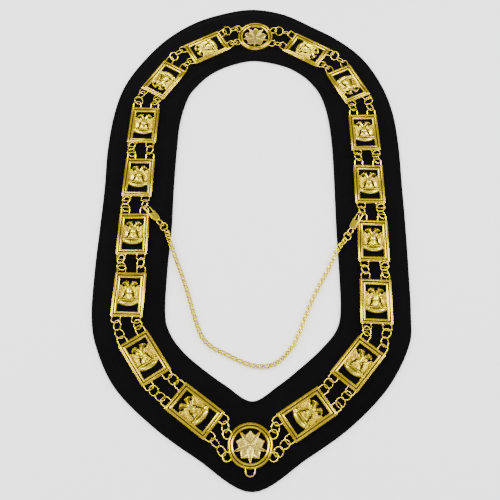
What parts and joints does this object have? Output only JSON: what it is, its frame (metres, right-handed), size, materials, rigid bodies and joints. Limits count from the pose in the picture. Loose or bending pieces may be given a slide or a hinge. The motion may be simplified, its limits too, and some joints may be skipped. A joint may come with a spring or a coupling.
{
  "type": "chain of office",
  "caption": "ceremonial collar: openwork gilt eagle plaques and star discs on jump rings, laid on a velvet band, with a safety chain and sprung clasps",
  "frame": {"origin": "under the middle of the collar's bounding box, on the plane it rests on", "axes": "+Y from the point at the bottom of the collar to its top; +Z out of the worn face; +X to the right when seen from the front"},
  "size_m": [0.3052, 0.5346, 0.0109],
  "materials": {
    "velvet": "black velvet",
    "gilt_brass": "cast, gilt and polished",
    "ring_wire": "gilt wire, polished",
    "fine_chain": "gilt fine chain",
    "clasp_gilt": "gilt, polished"
  },
  "bodies": {
    "collar": {"clasp_left": "clasp_gilt", "clasp_right": "clasp_gilt", "links_L1_L2_inner": "ring_wire", "links_L1_L2_outer": "ring_wire", "links_L2_L3_inner": "ring_wire", "links_L2_L3_outer": "ring_wire", "links_L3_L4_inner": "ring_wire", "links_L3_L4_outer": "ring_wire", "links_L4_L5_inner": "ring_wire", "links_L4_L5_outer": "ring_wire", "links_L5_L6_inner": "ring_wire", "links_L5_L6_outer": "ring_wire", "links_L6_L7_inner": "ring_wire", "links_L6_L7_outer": "ring_wire", "links_L7_L8_inner": "ring_wire", "links_L7_L8_outer": "ring_wire", "links_L8_bottom_inner": "ring_wire", "links_L8_bottom_outer": "ring_wire", "links_R1_top_inner": "ring_wire", "links_R1_top_outer": "ring_wire", "links_R2_R1_inner": "ring_wire", "links_R2_R1_outer": "ring_wire", "links_R3_R2_inner": "ring_wire", "links_R3_R2_outer": "ring_wire", "links_R4_R3_inner": "ring_wire", "links_R4_R3_outer": "ring_wire", "links_R5_R4_inner": "ring_wire", "links_R5_R4_outer": "ring_wire", "links_R6_R5_inner": "ring_wire", "links_R6_R5_outer": "ring_wire", "links_R7_R6_inner": "ring_wire", "links_R7_R6_outer": "ring_wire", "links_R8_R7_inner": "ring_wire", "links_R8_R7_outer": "ring_wire", "links_bottom_R8_inner": "ring_wire", "links_bottom_R8_outer": "ring_wire", "links_top_L1_inner": "ring_wire", "links_top_L1_outer": "ring_wire", "plaque_L1": "gilt_brass", "plaque_L2": "gilt_brass", "plaque_L3": "gilt_brass", "plaque_L4": "gilt_brass", "plaque_L5": "gilt_brass", "plaque_L6": "gilt_brass", "plaque_L7": "gilt_brass", "plaque_L8": "gilt_brass", "plaque_R1": "gilt_brass", "plaque_R2": "gilt_brass", "plaque_R3": "gilt_brass", "plaque_R4": "gilt_brass", "plaque_R5": "gilt_brass", "plaque_R6": "gilt_brass", "plaque_R7": "gilt_brass", "plaque_R8": "gilt_brass", "safety_chain": "fine_chain", "star_disc_bottom": "gilt_brass", "star_disc_top": "gilt_brass", "velvet_collar": "velvet"},
    "lever_left": {"clasp_left_lever": "clasp_gilt"},
    "lever_right": {"clasp_right_lever": "clasp_gilt"}
  },
  "joints": [
    {"name": "left_lever_hinge", "type": "hinge", "parent": "collar", "child": "lever_left", "pos_m": [-0.09786, -0.00575, 0.00689], "axis": [0.3997, 0.2461, 0.883], "range_deg": [0, 24], "stiffness_Nm_per_rad": 0.00002, "springref_deg": -5.73},
    {"name": "right_lever_hinge", "type": "hinge", "parent": "collar", "child": "lever_right", "pos_m": [0.09884, -0.01497, 0.00681], "axis": [0.4475, -0.1823, -0.8755], "range_deg": [0, 24], "stiffness_Nm_per_rad": 0.00002, "springref_deg": -5.73}
  ]
}
